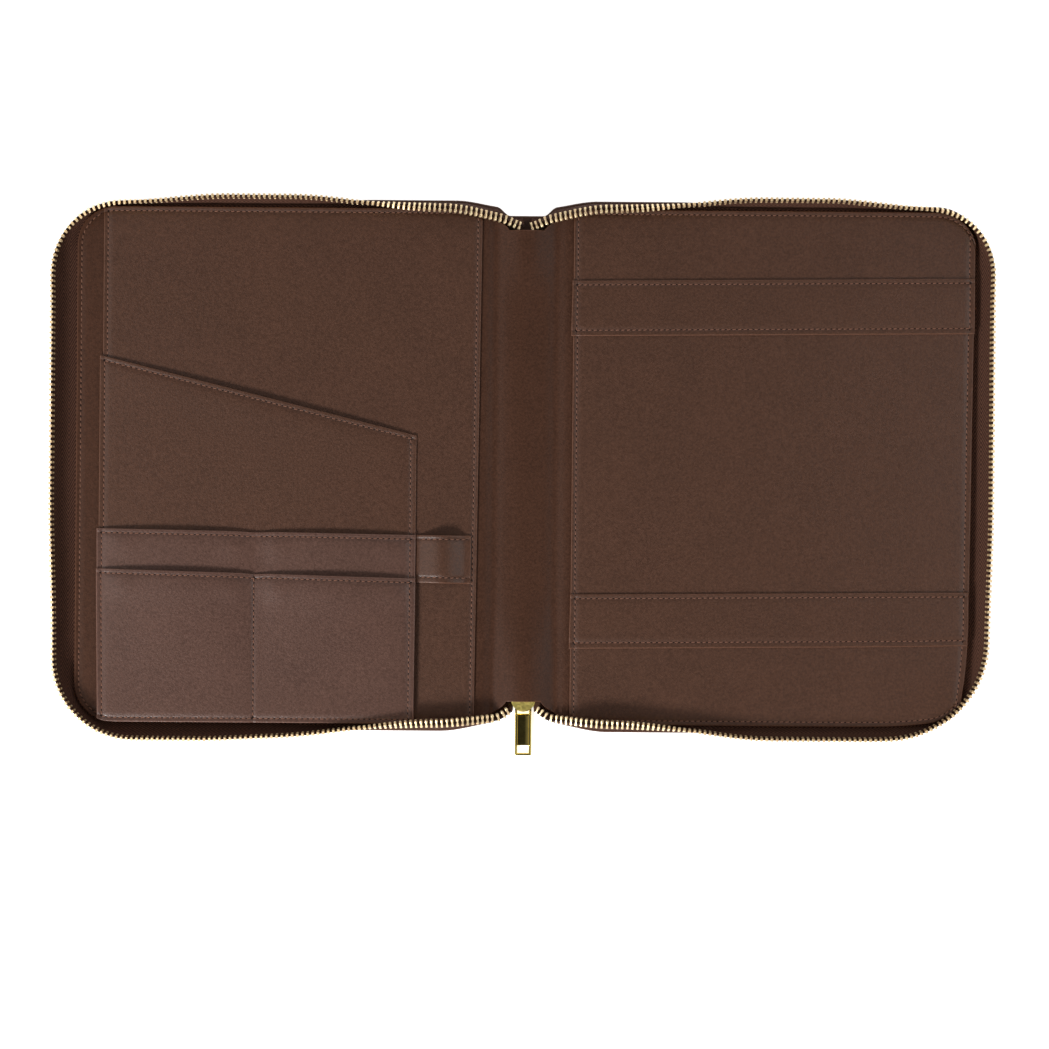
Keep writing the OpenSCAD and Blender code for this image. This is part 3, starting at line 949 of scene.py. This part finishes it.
def panel(name, node, body, on, material, slot, left, right, bottom, top, height, seams,
          step=mm(5), thickness=LAYER_T, crease=None):
    """A sewn layer with rounded edges, and the lines of its stitches. left and right are x at its
    bottom and its top, bottom and top are y over x, height is its middle, seams gives the distance
    from an edge to its stitches, and crease is the x of a seam down its middle. on, what it lies
    on, is not used."""
    side = SIDES[body.removesuffix("_cover")]
    centre = (left[0] + right[0]) / 2
    width, tall = right[0] - left[0], float(top(centre) - bottom(centre))

    def places(length, *ends):
        return ticks(length, step, thickness, *([seams[k]] if k in seams else [] for k in ends))

    across, up = places(width, "left", "right"), places(tall, "bottom", "top")
    if crease is not None:
        more = [(0, crease - left[0] + d) for d in mm(-2.2, -1.4, -0.9, -0.45, 0, 0.45, 0.9, 1.4, 2.2)]
        across = np.vstack([across, more])
        across = across[np.argsort(across @ (width, 1))]
    f, o = up[:, :1], up[:, 1:]
    x0, x1 = lerp(left[0], left[1], f), lerp(right[0], right[1], f)
    x = x0 + across[:, 0] * (x1 - x0) + across[:, 1]
    y0, y1 = bottom(x), top(x)
    y = y0 + f * (y1 - y0) + o
    inward = {"left": x - x0, "right": x1 - x, "bottom": y - y0, "top": y1 - y}
    edge = np.minimum.reduce(list(inward.values()))
    half = thickness / 2 - round_over(edge, thickness)
    hollow = sum(dip(inward[k] - d) for k, d in seams.items())
    if crease is not None:
        hollow = hollow + dip(x - crease, *CREASE)
    z = height(x, y) - hollow
    flat, lift = curl(np.column_stack([x.ravel(), y.ravel()]), side)
    z_top, z_under = (z + half).ravel() + lift, (z - half).ravel() + lift
    faces, wear_and_highlight = grid_faces(*x.shape), edge_wear_and_highlight(edge).ravel()
    piece = closed_sheet(name, flat, faces, z_top, z_under, material, wear_and_highlight)
    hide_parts(node)
    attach(piece, body)
    cut_sheet(flat, faces)
    lines = []
    margin = mm(1.2)
    k = np.linspace(0, 1, 120)
    for edge_name, d in seams.items():
        if edge_name in ("left", "right"):
            sx = lerp(*left, k) + d if edge_name == "left" else lerp(*right, k) - d
            sy = lerp(bottom(sx) + margin, top(sx) - margin, k)
        else:
            end = 1 if edge_name == "top" else 0
            sx = lerp(left[end] + margin, right[end] - margin, k)
            sy = top(sx) - d if edge_name == "top" else bottom(sx) + d
        sz = height(sx, sy) + thickness / 2 - dip(0)
        seam, lift = curl(np.column_stack([sx, sy]), side)
        lines.append(np.column_stack([seam, sz + lift]))
    return lines


FROM_POCKET = dict(material=POCKET, slot="pocket_leather")
FROM_CARD = dict(material=CARD_WITH_SHEEN, slot="card_leather")


def front_pockets():
    body = "front_cover"
    outer, inner = low("slant_pocket", 0), high("slant_pocket", 0)
    foot = sewn_edge(-1)
    middle = (outer + inner) / 2 - mm(2.6)

    lines = panel(
        "document_pocket_leather", "document_pocket", body, "front_lining_skin", **FROM_POCKET,
        left=(outer - mm(0.6), outer - mm(0.6)), right=mm(-29.6, -26.6), bottom=foot,
        top=sewn_edge(1), height=flat_stack(0),
        seams={"left": SEAM, "right": SEAM, "top": SEAM, "bottom": SEAM},
    )

    def pulled_in(mouth, width):
        """A mouth that the seam down its middle pulls in a little."""
        return lambda x: mouth(x) - mm(0.5) * bell(x - middle, width)

    slant = straight(outer, high("slant_pocket", 1) - mm(1.4), inner, mm(18.2))
    rear_mouth = pulled_in(straight(outer, mm(-38.8), inner, mm(-41.5)), mm(9))
    front_mouth = pulled_in(straight(outer, mm(-62.9), inner, mm(-67.5)), mm(5))

    def puff(x, y, mouth, amount, lobes):
        """The soft swell of a pocket below its mouth, pinched at its seams."""
        span = (x - outer) / (inner - outer) * lobes
        lobe = np.abs(np.sin(np.pi * np.clip(span, 0, lobes))) ** 0.7
        d = np.maximum(mouth(x) - y, 0)
        inside = mouth(x) - y >= -mm(0.01)
        swell = 0.7 * bell(d, mm(15)) + 0.6 * d / mm(24) * np.exp(1 - d / mm(24))
        return amount * lobe * swell * inside

    def pucker(x, y, mouth, amount):
        """Small swells just inside the stitched corners of the two card slots."""
        total = 0
        for at in (outer + mm(11), middle - mm(12), middle + mm(12), inner - mm(13)):
            total = total + bell(x - at, mm(7)) * bell(y - mouth(at) + mm(8.5), mm(5))
        return amount * total * (y < mouth(x) + mm(0.01))

    def stack(level, *swells):
        base = flat_stack(level)

        def height(x, y):
            z = base(x, y) + sum(puff(x, y, *swell) for swell in swells)
            return z + sum(pucker(x, y, mouth, mm(1.1)) for mouth, _, lobes in swells if lobes > 1)

        return height

    # each pocket's mouth, how far it swells, and its lobes; a pocket takes those below it too
    swells = [(slant, mm(1.8), 1), (rear_mouth, mm(2.1), 2), (front_mouth, mm(2.6), 2)]
    seams = {"left": mm(3.0), "right": mm(3.4), "top": SEAM, "bottom": SEAM}
    shared = dict(right=mm(-65.8, -65.2), bottom=foot, seams=seams)
    lines += panel(
        "slant_pocket_leather", "slant_pocket", body, "document_pocket_leather", **FROM_POCKET, **shared,
        left=(outer - mm(2.2), outer - mm(2.3)), top=slant, height=stack(1, *swells[:1]),
    )
    lines += panel(
        "rear_card_leather", "rear_card_pocket", body, "slant_pocket_leather", **FROM_CARD, **shared,
        left=(outer - mm(2.3), outer - mm(3.3)), top=rear_mouth, height=stack(2, *swells[:2]),
    )

    front_height = stack(3, *swells)
    lines += panel(
        "front_card_leather", "front_card_pocket", body, "rear_card_leather", **FROM_CARD, **shared,
        left=(outer - mm(2.2), outer - mm(3.3)), top=front_mouth, height=front_height, crease=middle,
    )
    y = np.linspace(front_mouth(middle) - mm(0.4), foot(middle) + mm(2), 60)
    x = np.full(60, middle)
    lines.append(np.column_stack([x, y, front_height(x, y) + LAYER_T / 2 - CREASE[0]]))
    sew("front_pocket_stitches", body, lines)


def pen_loop():
    x0, x1 = low("pen_loop", 0), high("pen_loop", 0)
    foot = PANEL_Z + LAYER + LAYER_T / 2
    crown = high("pen_loop", 2) - LAYER_T - mm(1.6) - foot

    def height(x, y):
        s = np.clip((x - x0 - mm(1.5)) / (x1 - x0 - mm(4)), 0, 1)
        return foot + crown * np.sin(np.pi * s) ** 1.2 + undulation(x, y)

    lines = panel(
        "pen_loop_leather", "pen_loop", "front_cover", "document_pocket_leather", **FROM_POCKET,
        left=(x0 - mm(0.2), x0 - mm(0.2)), right=(x1 + mm(0.9), x1 + mm(0.9)),
        bottom=straight(x0, mm(-70.0), x1, mm(-70.6)), top=straight(x0, mm(-41.4), x1, mm(-41.6)),
        height=height, seams={"top": mm(2.4), "bottom": mm(3.4)}, step=mm(1.4),
    )
    sew("pen_loop_stitches", "front_cover", lines)


def back_panels():
    body = "back_cover"
    inner, outer = low("notepad_sleeve", 0), high("notepad_sleeve", 0)
    left, right = (inner + mm(0.4), inner + mm(1.1)), (outer - mm(2.9), outer + mm(0.2))
    lines = panel(
        "notepad_sleeve_leather", "notepad_sleeve", body, "back_lining_skin", **FROM_POCKET,
        left=left, right=right, bottom=sewn_edge(-1), top=sewn_edge(1), height=flat_stack(0),
        seams={"left": SEAM, "right": mm(3.2), "top": SEAM, "bottom": SEAM},
    )
    rise = mm(3.0)  # of a band, from its inner end to its outer
    seams = {"left": mm(3.2), "right": mm(3), "top": SEAM, "bottom": mm(3.5)}
    for node, *places in (("upper_band", 78.6, 111.9, -0.1), ("lower_band", -109.0, -76.4, -2.6)):
        y0, y1, out = mm(*places)
        lines += panel(
            f"{node}_leather", node, body, "notepad_sleeve_leather", **FROM_POCKET,
            left=(left[0] - mm(0.6), left[0] - mm(0.1)), right=(outer + out, outer + out),
            bottom=straight(inner, y0, outer, y0 + rise), top=straight(inner, y1, outer, y1 + rise),
            height=flat_stack(1), seams=seams,
        )
    sew("back_pocket_stitches", body, lines)


def lining_stitches():
    """The seam round the front lining, where no pocket covers it."""
    inset = LINING_INSET + SEAM
    top = outline(inset, np.linspace(mm(252), REACH - CORNER_R + mm(6), 4), 12)
    top = top[top[:, 0] > mm(253)]
    loop = np.vstack([top, (top * (1, -1))[::-1]])
    z = lining_z(-1)(*loop.T) + LINING_T / 2 - dip(0)
    sew("front_lining_stitches", "front_cover", [np.column_stack([loop * (-1, 1), z])])


front_pockets()
pen_loop()
back_panels()
lining_stitches()


# ------------------------ zip


def zip_half(cover, phase):
    side = SIDES[cover]
    woven, bead = tape(side, f"{cover}_tape")
    row = teeth(side, f"{cover}_teeth", phase)
    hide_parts(*with_spine(side, f"{cover}_zip_tape", "top_tape_ends", "bottom_tape_ends"))
    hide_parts(f"{cover}_zip_cord")
    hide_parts(*with_spine(side, f"{cover}_zip_teeth", "top_end_teeth", "bottom_end_teeth"))
    for piece, slot in ((woven, "woven_tape"), (bead, "woven_tape"), (row, "tooth_brass")):
        across_fold(piece, side, *mm(9, 23))


zip_half("front", 0.5)
zip_half("back", 0.0)


# ------------------------ slider and pull


def bevelled(node, name, body, material, width=mm(0.22)):
    """A copy of a CAD piece with its edges rounded off."""
    obj = add_object(name, NODES[node].data.copy())
    obj.data.materials.clear()
    obj.data.materials.append(material)
    bevel = obj.modifiers.new("bevel", "BEVEL")
    bevel.width, bevel.segments, bevel.limit_method = width, 3, "ANGLE"
    bpy.context.view_layer.update()
    evaluated = obj.evaluated_get(bpy.context.evaluated_depsgraph_get())
    solid = bpy.data.meshes.new_from_object(evaluated)
    obj.modifiers.clear()
    obj.data = solid
    shade_smooth(solid, 35)
    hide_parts(node)
    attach(obj, body)


def pull():
    """The pull: a crossbar, two posts, a hollowed field between raised rims, and a window."""
    pivot = np.array(joint_place("pull_swing"))
    half_w, t = high("pull_tab", 0), mm(1.5)
    length = pivot[1] - low("pull_tab", 1)
    droop = math.asin((pivot[2] - t / 2 - mm(0.1)) / length)
    inner = half_w - mm(1.6)  # half width between the posts
    bar = mm(0.8)  # half width of the crossbar
    loop_end, window = mm(5.0), (length - mm(6.1), length - mm(1.6))
    field = (loop_end + mm(1.3), window[0] - mm(0.1))

    def places(start, end, edges, even):
        """Places from start to end: the even ones, and some close together at the edges."""
        near = np.add.outer(edges, mm(-0.7, -0.35, -0.15, -0.05, 0, 0.05, 0.15, 0.35, 0.7))
        every = np.append(near, even)
        return np.unique(np.round(every[(every >= start) & (every <= end)], 7))

    x = places(-half_w, half_w, (-half_w, -inner, inner, half_w), np.linspace(-inner, inner, 15))
    edges_y = (-bar, bar, loop_end, *field, *window, length)
    y = places(-bar, length, edges_y, np.linspace(0, length, 40))
    gx, gy = np.meshgrid(x, y)
    edge = np.minimum.reduce([gx + half_w, half_w - gx, gy + bar, length - gy])
    keep = np.ones((len(y) - 1, len(x) - 1), bool)
    cx, cy = (x[1:] + x[:-1]) / 2, (y[1:] + y[:-1]) / 2
    for start, end in ((bar, loop_end), window):
        hole = np.maximum.reduce([np.abs(gx) - inner, start - gy, gy - end])
        edge = np.minimum(edge, np.maximum(hole, 0))
        keep &= ~((np.abs(cx)[None, :] < inner) & (cy[:, None] > start) & (cy[:, None] < end))
    near_field = np.minimum.reduce([inner - np.abs(gx), gy - field[0], field[1] - gy])
    rim = np.clip((np.abs(gx) - half_w + mm(0.8)) / mm(0.8), -1, 1) * (np.abs(gx) > inner)
    dish = mm(0.5) - mm(0.27) * np.maximum(gx / inner, 0) ** 2
    sunk = smooth(near_field / mm(0.15)) * dish + mm(0.09) * rim**2
    drawn = round_over(np.maximum(edge, 0) * 1.6, t)
    used, faces = np.unique(np.array(grid_faces(*gx.shape))[keep.ravel()], return_inverse=True)
    faces = [tuple(f) for f in faces.reshape(-1, 4).tolist()]
    flat = np.column_stack([gx.ravel(), -gy.ravel()])[used]
    top = (t / 2 - drawn - sunk).ravel()[used]
    under = (drawn - t / 2).ravel()[used]
    piece = closed_sheet("pull_plate", flat, faces, top, under, GOLD)
    points = np.array([v.co for v in piece.data.vertices])
    turn = np.array(Matrix.Rotation(droop, 3, "X"))
    piece.data.vertices.foreach_set("co", (points @ turn.T + pivot).ravel())
    piece.data.update()
    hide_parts("pull_tab")
    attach(piece, "pull")


bevelled("slider_body", "slider_shell", "slider", PLATE)
bevelled("slider_bridge", "slider_loop", "slider", PLATE, mm(0.12))
pull()


# ------------------------ boards and padding


def core(cover, part, slot, material):
    """A flat inner layer of a cover, cut back beside the spine to lie inside its leather."""
    node, back = f"{cover}_{part}", f"back_{part}"
    side = SIDES[cover]
    rim, bevel = mm(2.4, 0.3)
    inset = max(REACH - high(back, 0), rim)
    top_u = np.linspace(low(back, 0), REACH - CORNER_R, 60)
    flat, faces, level = cover_net([inset, inset + bevel], top_u)
    fit = (HALF_H + edge_shift(flat[:, 0], flat[:, 1]) - rim) / (HALF_H - inset)
    flat[:, 1] *= np.minimum(fit, 1)
    flat, lift = curl(flat, side)
    edge = bevel * (level == 0)
    z_top, z_under = high(node, 2) - edge + lift, low(node, 2) + edge + lift
    name = f"{cover}_{slot}_layer"
    piece = closed_sheet(name, flat * (side, 1), faces, z_top, z_under, material)
    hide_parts(node)
    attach(piece, f"{cover}_cover")


for cover_name in SIDES:
    core(cover_name, "board", "greyboard", GREYBOARD)
    core(cover_name, "foam", "foam", FOAM)


# ------------------------ CAD nodes that stay

PLAIN = {
    "spine_stiffener": GREYBOARD,
    "top_stops": BRASS,
    "chain_tail_tape": TAPE_PLAIN,
    "chain_tail_teeth": BRASS,
    "bottom_stop": BRASS,
}
for node_name, finish in PLAIN.items():
    NODES[node_name].data.materials.clear()
    NODES[node_name].data.materials.append(finish)

boxes = {"cad": CAD_BOX, "visual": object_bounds()}
{k: [list(map(float, c)) for c in v] for k, v in boxes.items()}
